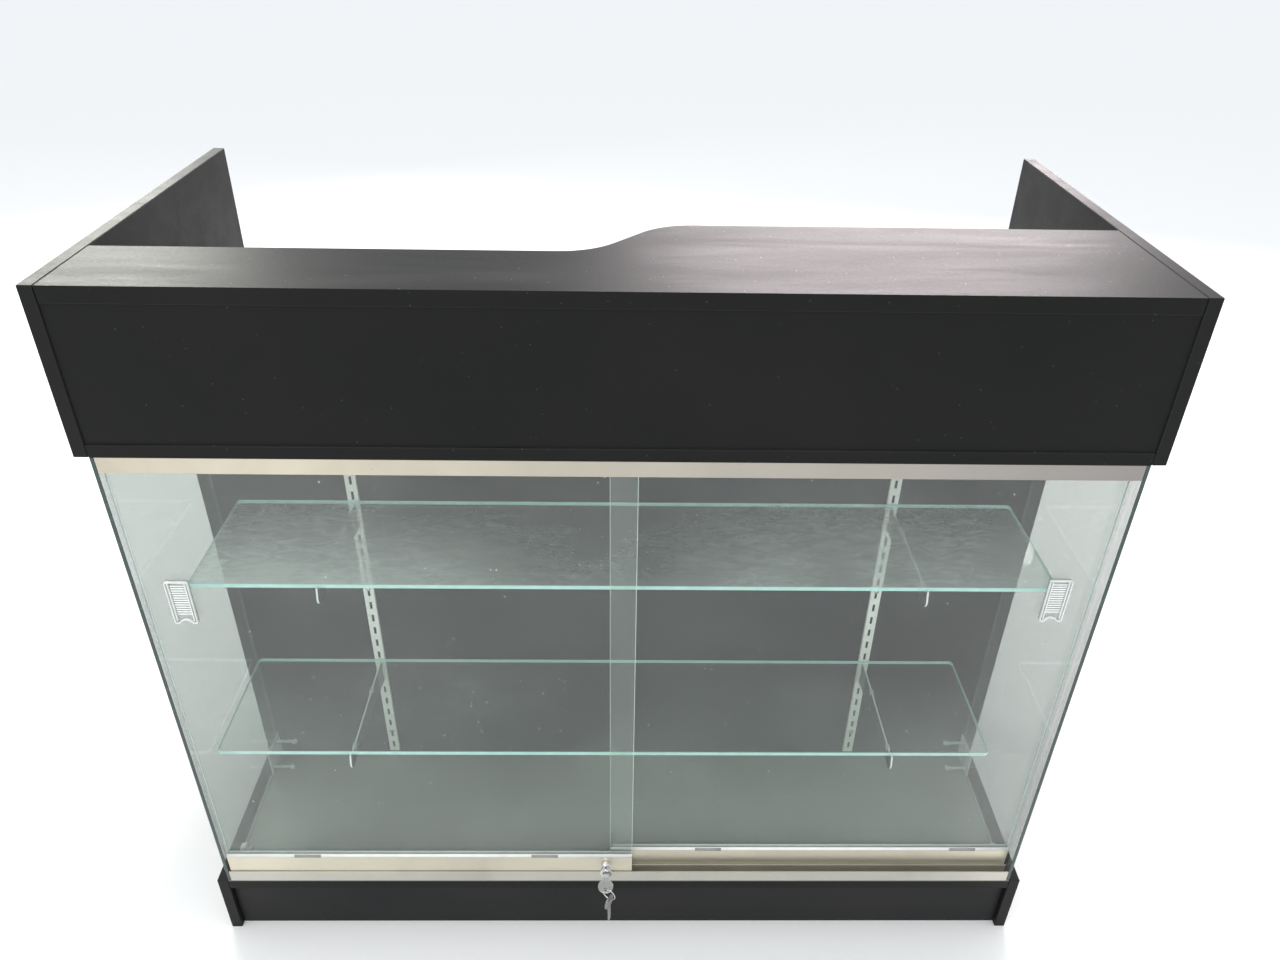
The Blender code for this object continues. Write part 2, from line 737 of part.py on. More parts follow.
# ---- Lock and keys -----------------------------------------------------------------------------


def lock_point(reach):
    """A point on the lock's axis, a reach in front of the door rail's face."""
    return place(LOCK_X, RAIL_FACE_DEPTH - reach, LOCK_Z)


def lock_sleeve(chrome):
    hub_floor = CLEARANCE + 0.0012
    profile = [
        (HUB_RADIUS, HUB_LENGTH + CLEARANCE),
        (HUB_RADIUS, CLEARANCE),
        (SHANK_RADIUS, CLEARANCE),
        (SHANK_RADIUS, -SHANK_DEPTH),
        (SHANK_BORE, -SHANK_DEPTH),
        (SHANK_BORE, hub_floor),
        (HUB_BORE, hub_floor),
        (HUB_BORE, HUB_LENGTH + CLEARANCE),
    ]
    return turned("lock_sleeve", profile, chrome, lock_point(0), ALONG_Y)


def lock_plunger(chrome):
    """The push-in part: a flanged barrel with a blocking pin and a bore for the plug."""
    barrel_length = PLUNGER_FRONT - PLUNGER_REAR
    barrel_middle = lock_point((PLUNGER_FRONT + PLUNGER_REAR) / 2)
    plunger = cylinder("lock_plunger", PLUNGER_RADIUS, barrel_length, chrome, barrel_middle, ALONG_Y, 28)
    flange_middle = lock_point(PLUNGER_FRONT - PLUNGER_FLANGE / 2 + CLEARANCE)
    flange = cylinder("flange", PLUNGER_FLANGE_RADIUS, PLUNGER_FLANGE, None, flange_middle, ALONG_Y, 28)
    pin_start = PLUNGER_REAR + 0.001
    pin_middle = lock_point((pin_start + PIN_TIP) / 2)
    pin = cylinder("pin", PIN_RADIUS, pin_start - PIN_TIP, None, pin_middle, ALONG_Y, 16)
    bore_rear = PLUG_REAR - CLEARANCE
    bore_front = PLUNGER_FRONT + 0.004
    bore_middle = lock_point((bore_rear + bore_front) / 2)
    bore = cylinder("bore", PLUG_BORE, bore_front - bore_rear, None, bore_middle, ALONG_Y, 24)
    combine(plunger, flange, "UNION")
    combine(plunger, pin, "UNION")
    return combine(plunger, bore, "DIFFERENCE")


def lock_plug(brass):
    """The core that turns with the key, slotted for its blade."""
    length = PLUNGER_FRONT - PLUG_REAR
    middle = (PLUNGER_FRONT + PLUG_REAR) / 2
    plug = cylinder("lock_plug", PLUG_RADIUS, length, brass, lock_point(middle), ALONG_Y, 24)
    slot_size = (KEY_BLADE_WIDTH + 2 * CLEARANCE, length, KEY_THICKNESS + 2 * CLEARANCE)
    slot = add_object("keyway", box_mesh("keyway", slot_size), None, lock_point(middle + 0.0006))
    return combine(plug, slot, "DIFFERENCE")


def key_outline(blade_length):
    """A round-bowed key lying in its own plane, blade along +V, with the bow centre at 0, 0."""
    half = KEY_BLADE_WIDTH / 2
    shoulder = math.degrees(math.asin(half / KEY_BOW_RADIUS))
    outline = arc(0, 0, KEY_BOW_RADIUS, 90 + shoulder, 450 - shoulder, 24)
    tip = KEY_BOW_RADIUS + blade_length
    outline += [(half, tip - 0.002), (half - 0.002, tip), (-half + 0.001, tip)]
    first_tooth = KEY_BOW_RADIUS + 0.45 * blade_length
    teeth = max(2, int((tip - 0.002 - first_tooth) / 0.003))
    for index in range(teeth):
        crest = tip - 0.002 - index * (tip - 0.002 - first_tooth) / teeth
        outline.append((-half, crest))
        outline.append((-half + 0.0014, crest - 0.0013))
    outline.append((-half, first_tooth))
    return outline


def key_in_lock(steel):
    blade = KEY_NECK + PLUNGER_FRONT - PLUG_REAR - 0.0014
    hole = circle(0, -KEY_HOLE_OFFSET, KEY_HOLE_RADIUS, 20)
    return extrusion("key", [key_outline(blade), hole], KEY_THICKNESS, steel, lock_point(KEY_BOW_CENTRE))


def hang(obj, pivot_name, pivot):
    """Hang a piece from an empty that stands on the line it swings about."""
    empty = bpy.data.objects.new(pivot_name, None)
    empty.empty_display_size = 0.01
    empty.location = pivot
    PARTS.objects.link(empty)
    obj.parent = empty
    obj.location = obj.location - pivot
    return obj


def ring_direction():
    """Sideways direction of the ring's plane, turned a little towards the customer."""
    return Vector((math.cos(RING_TURN), -math.sin(RING_TURN), 0))


def ring_drop():
    """How far out and how far down the ring's centre hangs from the bow's hole."""
    along = KEY_HOLE_OFFSET * math.sin(RING_TURN)
    edge = math.sqrt(along**2 + KEY_BOW_RADIUS**2 - KEY_HOLE_OFFSET**2) - along
    out = (edge + KEY_HOLE_RADIUS) / 2 + 2 * CLEARANCE
    half_chord = (edge - KEY_HOLE_RADIUS) / 2
    down = math.sqrt((RING_RADIUS - RING_WIRE) ** 2 - half_chord**2)
    return out, down - KEY_THICKNESS / 2 - 2 * CLEARANCE


def ring_and_spare_key(steel):
    """A wire ring through the bow's hole, with a second key hanging edge-on from it."""
    out, down = ring_drop()
    centre = lock_point(KEY_HOLE_CENTRE) + ring_direction() * out - Vector((0, 0, down))
    bpy.ops.mesh.primitive_torus_add(
        major_radius=RING_RADIUS,
        minor_radius=RING_WIRE,
        major_segments=32,
        minor_segments=8,
        location=centre,
        rotation=(math.radians(90), 0, -RING_TURN),
    )
    ring = bpy.context.object
    ring.name = "key_ring"
    ring.data.shade_smooth()
    ring.data.materials.append(steel)
    for collection in list(ring.users_collection):
        collection.objects.unlink(ring)
    PARTS.objects.link(ring)
    hang(ring, "key_ring_pivot", lock_point(KEY_HOLE_CENTRE))
    hole_drop = KEY_HOLE_RADIUS - RING_WIRE - CLEARANCE
    hook = centre - Vector((0, 0, RING_RADIUS + hole_drop))
    bow = hook - Vector((0, 0, KEY_HOLE_OFFSET))
    blade_down = (-math.radians(90), 0, math.radians(90) - RING_TURN)
    hole = circle(0, -KEY_HOLE_OFFSET, KEY_HOLE_RADIUS, 20)
    outlines = [key_outline(SPARE_BLADE), hole]
    spare = extrusion("spare_key", outlines, KEY_THICKNESS, steel, bow, blade_down)
    hang(spare, "spare_key_pivot", centre - Vector((0, 0, RING_RADIUS)))


def build():
    laminate = make_material("black_laminate", (0.030, 0.031, 0.033), 0.42)
    glass = make_material("clear_glass", (0.80, 0.92, 0.87), 0.04, 0.0, 0.30)
    aluminium = make_material("satin_aluminium", (0.66, 0.64, 0.57), 0.35, 1.0)
    zinc = make_material("zinc_plated_steel", (0.62, 0.63, 0.63), 0.28, 1.0)
    chrome = make_material("chrome", (0.70, 0.71, 0.72), 0.12, 1.0)
    brass = make_material("nickel_brass", (0.60, 0.56, 0.46), 0.3, 1.0)
    clear = make_material("clear_plastic", (0.88, 0.92, 0.90), 0.12, 0.0, 0.45)
    white = make_material("white_plastic", (0.80, 0.80, 0.77), 0.45)
    rubber = make_material("shelf_rubber", (0.70, 0.70, 0.66), 0.6)
    wheel = make_material("wheel_plastic", (0.72, 0.70, 0.64), 0.5)
    carcass(laminate)
    ledge_top(laminate)
    storage_shelf(laminate, zinc)
    glass_panes(glass)
    shelving(glass, zinc, rubber)
    corner_clamp("left_corner_clamp", -1, clear)
    corner_clamp("right_corner_clamp", 1, clear)
    front_corner_clip("left_front_clip", -1, white)
    front_corner_clip("right_front_clip", 1, white)
    tracks(aluminium)
    doors({"aluminium": aluminium, "steel": zinc, "wheel": wheel, "glass": glass, "clear": clear})
    lock_sleeve(chrome)
    lock_plunger(chrome)
    lock_plug(brass)
    key_in_lock(zinc)
    ring_and_spare_key(zinc)


clear_scene()
PARTS = new_collection(COLLECTION_NAME)
CUTTERS = new_collection(CUTTER_COLLECTION_NAME)
build()
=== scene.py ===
"""Visual model of the glass showcase checkout counter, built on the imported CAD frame.

Object coordinates of every CAD node are metres in the counter's own frame, so procedural
textures are in metres too: +X along the counter, +Y towards the clerk, +Z up.
"""

import math

import bmesh
import bpy
from mathutils import Matrix, Vector


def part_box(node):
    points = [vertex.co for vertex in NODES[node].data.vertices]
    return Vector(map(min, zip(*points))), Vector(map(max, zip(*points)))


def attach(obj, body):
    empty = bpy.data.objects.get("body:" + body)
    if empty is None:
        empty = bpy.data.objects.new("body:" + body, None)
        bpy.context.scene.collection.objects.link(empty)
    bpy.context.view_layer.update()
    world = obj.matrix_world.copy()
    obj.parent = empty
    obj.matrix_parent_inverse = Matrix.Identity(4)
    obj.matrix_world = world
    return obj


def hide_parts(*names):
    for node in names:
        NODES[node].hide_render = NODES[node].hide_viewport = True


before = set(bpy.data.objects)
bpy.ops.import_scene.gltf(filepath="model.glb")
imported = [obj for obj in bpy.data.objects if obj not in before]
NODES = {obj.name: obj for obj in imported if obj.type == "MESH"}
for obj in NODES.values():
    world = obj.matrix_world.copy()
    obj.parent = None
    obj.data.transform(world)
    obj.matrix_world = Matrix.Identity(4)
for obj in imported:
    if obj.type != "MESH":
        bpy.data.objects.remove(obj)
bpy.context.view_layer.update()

# Camera, from the photograph's vanishing lines. The lens is in millimetres on a 36 mm wide sensor.
CAMERA_PLACE = (-0.0032, -1.1884, 1.4234)
CAMERA_PITCH = math.radians(32.18)
CAMERA_YAW = math.radians(1.22)
CAMERA_ROLL = math.radians(1.076)
CAMERA_LENS = 27.62

RAIL_FACE_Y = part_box("left_door_rail")[0][1]
RAIL_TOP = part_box("left_door_rail")[1][2]
DECK_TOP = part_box("deck_board")[1][2]
BACK_PANEL_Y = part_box("display_back_panel")[0][1]

# The axis of the plunger lock, as in the CAD.
LOCK_X = -0.0232
LOCK_Z = 0.150

# The first two lights glare on the ledge, as in the photograph.
# Each area light's name, place, the point that it faces, width and height, watts and colour.
LIGHTS = (
    ("left_glare", (-2.25, 2.9, 2.15), (-0.45, -0.2, 1.0), (0.9, 1.0), 48, (1.0, 1.0, 0.92)),
    ("right_glare", (1.05, 2.9, 2.15), (0.2, -0.2, 1.0), (1.9, 1.0), 88, (1.0, 0.90, 0.91)),
    ("overhead", (0.2, -0.4, 3.2), (0, -0.1, 0.5), (2.6, 1.6), 16, (1.0, 0.99, 0.96)),
    ("front", (-1.3, -3.1, 2.5), (-0.1, -0.1, 0.45), (2.8, 1.6), 30, (1.0, 0.98, 0.93)),
)

# Finger pull: corner radius, the cup cut into its foot, and its walls.
PULL_CORNER = 0.002
PULL_CUP_DROP = 0.004
PULL_CUP_RADIUS = 0.0095
PULL_WALL = 0.0009
PULL_WEB = 0.0016
PULL_RIB_INSET = 0.0036
PULL_RIB_SHORTER = 0.0030
PULL_GRIP_PITCH = 0.0036
PULL_GRIP_COUNT = 13
PULL_GRIP_MIDDLE = 0.003
PULL_GRIP_END_GAP = 0.0012
PULL_GRIP_HALF_SIZE = 0.0008
PULL_GRIP_ROUNDING = 0.0007
PULL_GRIP_THICKNESS = 0.0012

# Sections of the rail strips: (depth behind the rail's face, height above the rail's top).
GASKET_SECTION = (
    (0.0002, 0.0001),
    (0.0002, 0.0010),
    (0.0010, 0.0038),
    (0.0016, 0.0050),
    (0.00215, 0.0052),
    (0.00215, -0.0075),
    (0.0013, -0.0075),
    (0.0013, 0.0001),
)
CLIP_SECTION = (
    (-0.0003, -0.0006),
    (-0.0003, 0.0013),
    (0.0006, 0.0042),
    (0.0010, 0.0045),
    (0.0012, 0.0042),
    (0.0008, 0.0036),
    (0.0001, 0.0011),
    (0.0001, 0.0002),
    (-0.0001, 0.0001),
    (-0.0001, -0.0006),
)
CLIP_MIDDLES = {"left": (-0.4655, -0.1145), "right": (0.1295, 0.5145)}
CLIP_LENGTH = 0.039
GASKET_END_GAP = 0.0004

# Screws that hold the slotted standards to the back panel. The cross is in shares of the radius.
SCREW_HEIGHTS = {"top": 0.7797, "middle": 0.4749, "bottom": 0.1701}
SCREW_RADIUS = 0.0041
SCREW_DOME = 0.0021
SCREW_DOME_ANGLES = (0.35, 0.7, 1.0, 1.25, 1.45)
CROSS_ARM = 0.55
CROSS_HALF_WIDTH = 0.13

# The clear bead at the foot of each side pane.
BEAD_RADIUS = 0.0024
BEAD_LENGTH = 0.168
BEAD_MIDDLE = 0.115

# Turned lock parts: (radius, reach out of the rail's face). The hub comes back round to its start.
HUB_PROFILE = (
    (0.0071, 0.0083),
    (0.0077, 0.0083),
    (0.0081, 0.0079),
    (0.0081, 0.0066),
    (0.0078, 0.0062),
    (0.0081, 0.0058),
    (0.0081, 0.0012),
    (0.0078, 0.0004),
    (0.0052, 0.0004),
    (0.0049, 0.0003),
    (0.0049, -0.0068),
    (0.0034, -0.0068),
    (0.0034, 0.0016),
    (0.0071, 0.0016),
    (0.0071, 0.0083),
)
BARREL_PROFILE = (
    (0.0, 0.0101),
    (0.0045, 0.0101),
    (0.0045, 0.0158),
    (0.0050, 0.0163),
    (0.0085, 0.0163),
    (0.0091, 0.0158),
    (0.0092, 0.0151),
    (0.0089, 0.0146),
    (0.0066, 0.0145),
    (0.0066, 0.0077),
    (0.0024, 0.0076),
    (0.0024, -0.0054),
    (0.0019, -0.0059),
    (0.0, -0.0059),
)
CORE_RADIUS = 0.0042
CORE_LENGTH = 0.0058
CORE_MIDDLE = 0.0131
KEYWAY_HALF_SIZE = (0.0038, 0.0012)

# Keys: the CAD bow's radius, the slightly smaller visual one, and the eye that the ring goes through.
CAD_BOW_RADIUS = 0.01125
BOW_RADIUS = 0.01115
BOW_RIM = 0.0013
EYE_DROP = 0.0054
EYE_RADIUS = 0.0029
EYE_RIM_RADIUS = 0.0042
KEY_THICKNESS = 0.0018
BLADE_HALF_WIDTH = 0.0034
BIT_LENGTH = 0.0034
BIT_DEPTHS = (0.0008, 0.0016, 0.0011, 0.0019, 0.0006, 0.0014, 0.0017, 0.0009)
RING_RADIUS = 0.0098
RING_WIRE_RADIUS = 0.00075
RING_TURN = math.radians(30)


# ---- Camera, floor and light -------------------------------------------------------------------


def new_object(name, data):
    made = bpy.data.objects.new(name, data)
    bpy.context.scene.collection.objects.link(made)
    return made


def make_camera():
    """The photograph's viewpoint: looking down at the front, turned and rolled a little."""
    data = bpy.data.cameras.new("camera")
    data.sensor_width = 36.0
    data.lens = CAMERA_LENS
    data.clip_start = 0.01
    data.clip_end = 200.0
    camera = new_object("camera", data)
    level = math.cos(CAMERA_PITCH)
    ahead = (math.sin(CAMERA_YAW) * level, math.cos(CAMERA_YAW) * level, -math.sin(CAMERA_PITCH))
    forward = Vector(ahead)
    right = forward.cross(Vector((0, 0, 1))).normalized()
    up = right.cross(forward)
    turn = Matrix.Rotation(-CAMERA_ROLL, 3, forward)
    axes = Matrix((turn @ right, turn @ up, -forward)).transposed()
    camera.matrix_world = Matrix.Translation(CAMERA_PLACE) @ axes.to_4x4()
    bpy.context.scene.camera = camera


def area_light(name, place, target, size, power, colour):
    """A rectangular light turned to face a point, and hidden from the camera."""
    data = bpy.data.lights.new(name, "AREA")
    data.shape = "RECTANGLE"
    data.size, data.size_y = size
    data.energy = power
    data.color = colour
    light = new_object(name, data)
    light.location = place
    direction = Vector(target) - Vector(place)
    light.rotation_euler = direction.to_track_quat("-Z", "Y").to_euler()
    light.visible_camera = False


def make_studio():
    """A pale room that is brighter overhead, and the area lights."""
    scene = bpy.context.scene
    world = bpy.data.worlds.new("studio")
    world.use_nodes = True
    tree = world.node_tree
    background = tree.nodes["Background"]
    background.inputs["Color"].default_value = (0.94, 0.97, 1.0, 1.0)
    feed(tree, background.inputs["Strength"], remap(tree, along(tree, "Z"), 0.0, 0.7, 0.72, 1.08))
    scene.world = world
    scene.view_settings.view_transform = "Standard"
    scene.cycles.transparent_max_bounces = 40
    scene.cycles.max_bounces = 14
    for light in LIGHTS:
        area_light(*light)


def make_floor():
    """A wide pale floor for the shadows. It belongs to the studio, not to the object."""
    bpy.ops.mesh.primitive_plane_add(size=90, location=(0, 0, 0))
    floor = bpy.context.object
    floor.name = "studio_floor"
    material, tree, shader = new_material("pale_floor")
    shader.inputs["Base Color"].default_value = (0.92, 0.92, 0.92, 1)
    shader.inputs["Roughness"].default_value = 0.7
    shader.inputs["Specular IOR Level"].default_value = 0.2
    floor.data.materials.append(material)


# ---- Node helpers ------------------------------------------------------------------------------


def new_material(name):
    material = bpy.data.materials.new(name)
    material.use_nodes = True
    tree = material.node_tree
    return material, tree, tree.nodes["Principled BSDF"]


def node(tree, kind, **settings):
    made = tree.nodes.new(kind)
    for key, value in settings.items():
        setattr(made, key, value)
    return made


def feed(tree, socket, value):
    """Set a socket from a number, a colour or another node's output."""
    if isinstance(value, bpy.types.NodeSocket):
        tree.links.new(value, socket)
    elif isinstance(value, (tuple, list)):
        socket.default_value = (*value, 1.0) if len(value) == 3 and socket.type == "RGBA" else value
    else:
        socket.default_value = value


def coords(tree, scale=(1, 1, 1), turn=(0, 0, 0)):
    """Object coordinates in metres, stretched and turned."""
    texture = node(tree, "ShaderNodeTexCoord")
    mapping = node(tree, "ShaderNodeMapping")
    mapping.inputs["Scale"].default_value = scale
    mapping.inputs["Rotation"].default_value = turn
    tree.links.new(texture.outputs["Object"], mapping.inputs["Vector"])
    return mapping.outputs["Vector"]


def component(tree, vector, axis):
    """One of a vector's parts: X, Y or Z."""
    parts = node(tree, "ShaderNodeSeparateXYZ")
    tree.links.new(vector, parts.inputs[0])
    return parts.outputs[axis]


def along(tree, axis):
    """0 at one end of the part and 1 at the other, along one of its own axes."""
    texture = node(tree, "ShaderNodeTexCoord")
    return component(tree, texture.outputs["Generated"], axis)


def facing(tree, axis, normal="Normal"):
    """The surface normal's part along an axis, from -1 to 1."""
    geometry = node(tree, "ShaderNodeNewGeometry")
    return component(tree, geometry.outputs[normal], axis)


def noise(tree, vector, scale, detail=4.0, roughness=0.55, distortion=0.0):
    made = node(tree, "ShaderNodeTexNoise")
    tree.links.new(vector, made.inputs["Vector"])
    made.inputs["Scale"].default_value = scale
    made.inputs["Detail"].default_value = detail
    made.inputs["Roughness"].default_value = roughness
    made.inputs["Distortion"].default_value = distortion
    return made.outputs["Fac"]


def remap(tree, value, from_low, from_high, to_low, to_high):
    made = node(tree, "ShaderNodeMapRange", clamp=True)
    tree.links.new(value, made.inputs["Value"])
    made.inputs["From Min"].default_value = from_low
    made.inputs["From Max"].default_value = from_high
    made.inputs["To Min"].default_value = to_low
    made.inputs["To Max"].default_value = to_high
    return made.outputs["Result"]


def maths(tree, operation, first, second=0.0):
    made = node(tree, "ShaderNodeMath", operation=operation)
    feed(tree, made.inputs[0], first)
    feed(tree, made.inputs[1], second)
    return made.outputs[0]


def times(tree, first, second):
    return maths(tree, "MULTIPLY", first, second)


def plus(tree, first, second):
    return maths(tree, "ADD", first, second)


def mix_colour(tree, share, first, second):
    """A colour mix. Sockets 6, 7 and out 2 are the colour ones; the node's names repeat for each type."""
    made = node(tree, "ShaderNodeMix", data_type="RGBA")
    feed(tree, made.inputs[0], share)
    feed(tree, made.inputs[6], first)
    feed(tree, made.inputs[7], second)
    return made.outputs[2]


def mix_shader(tree, share, first, second):
    made = node(tree, "ShaderNodeMixShader")
    feed(tree, made.inputs[0], share)
    tree.links.new(first, made.inputs[1])
    tree.links.new(second, made.inputs[2])
    return made.outputs[0]


def bump(tree, height, strength, distance):
    made = node(tree, "ShaderNodeBump")
    tree.links.new(height, made.inputs["Height"])
    made.inputs["Strength"].default_value = strength
    made.inputs["Distance"].default_value = distance
    return made.outputs["Normal"]


def facing_up(tree):
    """1 on surfaces that face up, 0 on the rest."""
    return remap(tree, facing(tree, "Z"), 0.6, 0.9, 0.0, 1.0)


def edge_wear(tree, radius, most):
    """Rises from 0 to the given most within a radius of the part's sharp edges."""
    rounded = node(tree, "ShaderNodeBevel", samples=4)
    rounded.inputs["Radius"].default_value = radius
    geometry = node(tree, "ShaderNodeNewGeometry")
    agreement = node(tree, "ShaderNodeVectorMath", operation="DOT_PRODUCT")
    tree.links.new(rounded.outputs["Normal"], agreement.inputs[0])
    tree.links.new(geometry.outputs["Normal"], agreement.inputs[1])
    return remap(tree, agreement.outputs["Value"], 0.93, 0.80, 0.0, most)


def specks(tree, vector, scale, amount):
    """A scatter of small soft dots, 1 in each dot. The amount is the share of cells that keep theirs."""
    cells = node(tree, "ShaderNodeTexVoronoi")
    tree.links.new(vector, cells.inputs["Vector"])
    cells.inputs["Scale"].default_value = scale
    dots = remap(tree, cells.outputs["Distance"], 0.05, 0.16, 1.0, 0.0)
    chosen = node(tree, "ShaderNodeSeparateColor")
    tree.links.new(cells.outputs["Color"], chosen.inputs[0])
    kept = remap(tree, chosen.outputs[0], amount, amount + 0.02, 1.0, 0.0)
    return times(tree, dots, kept)


def scaled(colour, factor):
    return tuple(min(1.0, channel * factor) for channel in colour)


# ---- Materials ---------------------------------------------------------------------------------

DUST_COLOUR = (0.41, 0.44, 0.40)
GRIME_COLOUR = (0.16, 0.15, 0.13)
GLASS_FILM_COLOUR = (0.91, 0.98, 0.95, 1)
HEAD_ON_REFLECTION = 0.042


def laminate(name, tone=0.0085, dust=1.0, display_paling=0.0):
    """Black melamine: a fine pressed texture, wipe marks, lint and paler worn edges.

    Above zero, the last argument pales the deck's upward faces towards a pale grey-green, in front of the
    back panel only.
    """
    material, tree, shader = new_material(name)
    plain = coords(tree)
    streaked = coords(tree, (1.2, 9.0, 9.0))
    clouds = noise(tree, plain, 3.5, 3.0)
    wipes = noise(tree, streaked, 2.6, 6.0, 0.6, 0.8)
    peel = noise(tree, plain, 1300.0, 2.0, 0.5)
    pores = noise(tree, plain, 260.0, 3.0, 0.65)
    base = mix_colour(
        tree,
        remap(tree, clouds, 0.3, 0.7, 0.0, 1.0),
        (tone, tone * 1.04, tone * 1.06),
        (tone * 1.45, tone * 1.42, tone * 1.36),
    )
    up = facing_up(tree)
    lint = times(tree, specks(tree, plain, 210.0, 0.035 * dust), remap(tree, up, 0, 1, 0.25, 0.8))
    film = times(tree, remap(tree, wipes, 0.35, 0.75, 0.0, 0.05 * dust), up)
    if display_paling > 0:
        depth = component(tree, plain, "Y")
        in_display = remap(tree, depth, BACK_PANEL_Y, BACK_PANEL_Y + 0.002, 1.0, 0.0)
        paling = remap(tree, clouds, 0.3, 0.7, display_paling * 0.85, display_paling * 1.15)
        film = plus(tree, film, times(tree, times(tree, paling, in_display), up))
    base = mix_colour(tree, maths(tree, "MAXIMUM", lint, film), base, DUST_COLOUR)
    worn = times(tree, edge_wear(tree, 0.0009, 0.75), remap(tree, pores, 0.35, 0.6, 0.55, 1.0))
    base = mix_colour(tree, worn, base, (0.10, 0.10, 0.098))
    feed(tree, shader.inputs["Base Color"], base)
    roughness = remap(tree, wipes, 0.3, 0.7, 0.40, 0.49)
    feed(tree, shader.inputs["Roughness"], plus(tree, roughness, remap(tree, pores, 0.3, 0.7, -0.03, 0.03)))
    shader.inputs["Specular IOR Level"].default_value = 0.12
    feed(tree, shader.inputs["Normal"], bump(tree, peel, 0.12, 0.0002))
    return material


def pane_shader(tree, passed):
    """See-through glass with a clear mirror image that grows towards a grazing view."""
    grazing = node(tree, "ShaderNodeLayerWeight")
    grazing.inputs["Blend"].default_value = 0.5
    growth = maths(tree, "POWER", grazing.outputs["Facing"], 5.0)
    mirror_share = plus(tree, times(tree, growth, 0.96), HEAD_ON_REFLECTION)
    clear = node(tree, "ShaderNodeBsdfTransparent")
    clear.inputs["Color"].default_value = (passed * 0.975, passed, passed * 0.985, 1)
    mirror = node(tree, "ShaderNodeBsdfGlossy")
    mirror.inputs["Roughness"].default_value = 0.015
    mirror.inputs["Color"].default_value = (1, 1, 1, 1)
    return mix_shader(tree, mirror_share, clear.outputs[0], mirror.outputs[0])


def dirt(tree, shelf, haze, smear, lint, turn):
    """How much of the pane is covered by haze, wipe marks and lint. A shelf has it on its top face only."""
    plain = coords(tree, turn=turn)
    cloud = noise(tree, plain, 2.2, 3.0, 0.5)
    amount = remap(tree, cloud, 0.3, 0.7, haze * 0.45, haze * 1.6)
    if shelf:
        amount = times(tree, amount, remap(tree, along(tree, "Y"), 0.0, 1.0, 1.55, 0.20))
    if smear > 0:
        stroked = coords(tree, (9.0, 22.0, 22.0), turn)
        strokes = noise(tree, stroked, 3.0, 6.0, 0.7, 1.2)
        patches = noise(tree, plain, 4.0, 2.0, 0.5, 0.6)
        wiped = times(tree, remap(tree, strokes, 0.42, 0.72, 0, 1), remap(tree, patches, 0.40, 0.60, 0.1, 1))
        amount = plus(tree, amount, times(tree, wiped, smear))
    if lint > 0:
        dots = plus(tree, specks(tree, plain, 130.0, lint), specks(tree, plain, 330.0, lint))
        amount = plus(tree, amount, times(tree, dots, 0.85))
    if shelf:
        amount = times(tree, amount, remap(tree, along(tree, "Z"), 0.4, 0.6, 0.0, 1.0))
    return maths(tree, "MINIMUM", amount, 0.85)


def glass(name, axis, haze, smear, lint, turn=(0, 0, 0), edge_tone=(0.42, 0.80, 0.70), passed=0.96):
    """Clear float glass: see-through across its thin axis, green and lit along its cut edges.

    The front cut edge is seen whole. The others are seen through the pane, so they are paler and thinner.
    """
    material, tree, shader = new_material(name)
    across = maths(tree, "ABSOLUTE", facing(tree, axis, "True Normal"))
    cut_edge = remap(tree, across, 0.92, 0.86, 0.0, 1.0)
    film = node(tree, "ShaderNodeBsdfDiffuse")
    film.inputs["Color"].default_value = GLASS_FILM_COLOUR
    covered = dirt(tree, axis == "Z", haze, smear, lint, turn)
    body = mix_shader(tree, covered, pane_shader(tree, passed), film.outputs[0])
    streaks = noise(tree, coords(tree, (60, 60, 60)), 1.0, 3.0)
    feed(tree, shader.inputs["Base Color"], mix_colour(tree, streaks, edge_tone, scaled(edge_tone, 1.7)))
    feed(tree, shader.inputs["Roughness"], remap(tree, streaks, 0.3, 0.7, 0.16, 0.30))
    shader.inputs["Coat Weight"].default_value = 0.4
    near_front = remap(tree, along(tree, "Y"), 0.02, 0.06, 1.0, 0.75)
    whole = mix_shader(tree, times(tree, cut_edge, near_front), body, shader.outputs[0])
    tree.links.new(whole, tree.nodes["Material Output"].inputs["Surface"])
    return material


def extruded_metal(name, colour, roughness, right_end_shade=None):
    """Satin anodised extrusion: fine drawing lines and rubbed patches. The last argument, if given, is
    painted shade: the colour that the part darkens to at its right.
    """
    material, tree, shader = new_material(name)
    lines = noise(tree, coords(tree, (1.5, 420.0, 420.0)), 3.0, 5.0, 0.6)
    patches = noise(tree, coords(tree), 7.0, 4.0, 0.6, 0.5)
    nicks = specks(tree, coords(tree), 120.0, 0.03)
    base = mix_colour(tree, remap(tree, patches, 0.35, 0.72, 0.0, 0.30), colour, scaled(colour, 0.55))
    if right_end_shade:
        base = mix_colour(tree, remap(tree, along(tree, "X"), 0.2, 1.0, 0.0, 1.0), base, right_end_shade)
    base = mix_colour(tree, times(tree, nicks, 0.4), base, (0.30, 0.29, 0.27))
    feed(tree, shader.inputs["Base Color"], base)
    shader.inputs["Metallic"].default_value = 0.85
    drawn = plus(tree, remap(tree, lines, 0.3, 0.7, -0.06, 0.06), roughness)
    feed(tree, shader.inputs["Roughness"], plus(tree, drawn, remap(tree, patches, 0.3, 0.7, 0.0, 0.10)))
    feed(tree, shader.inputs["Normal"], bump(tree, lines, 0.05, 0.0001))
    return material


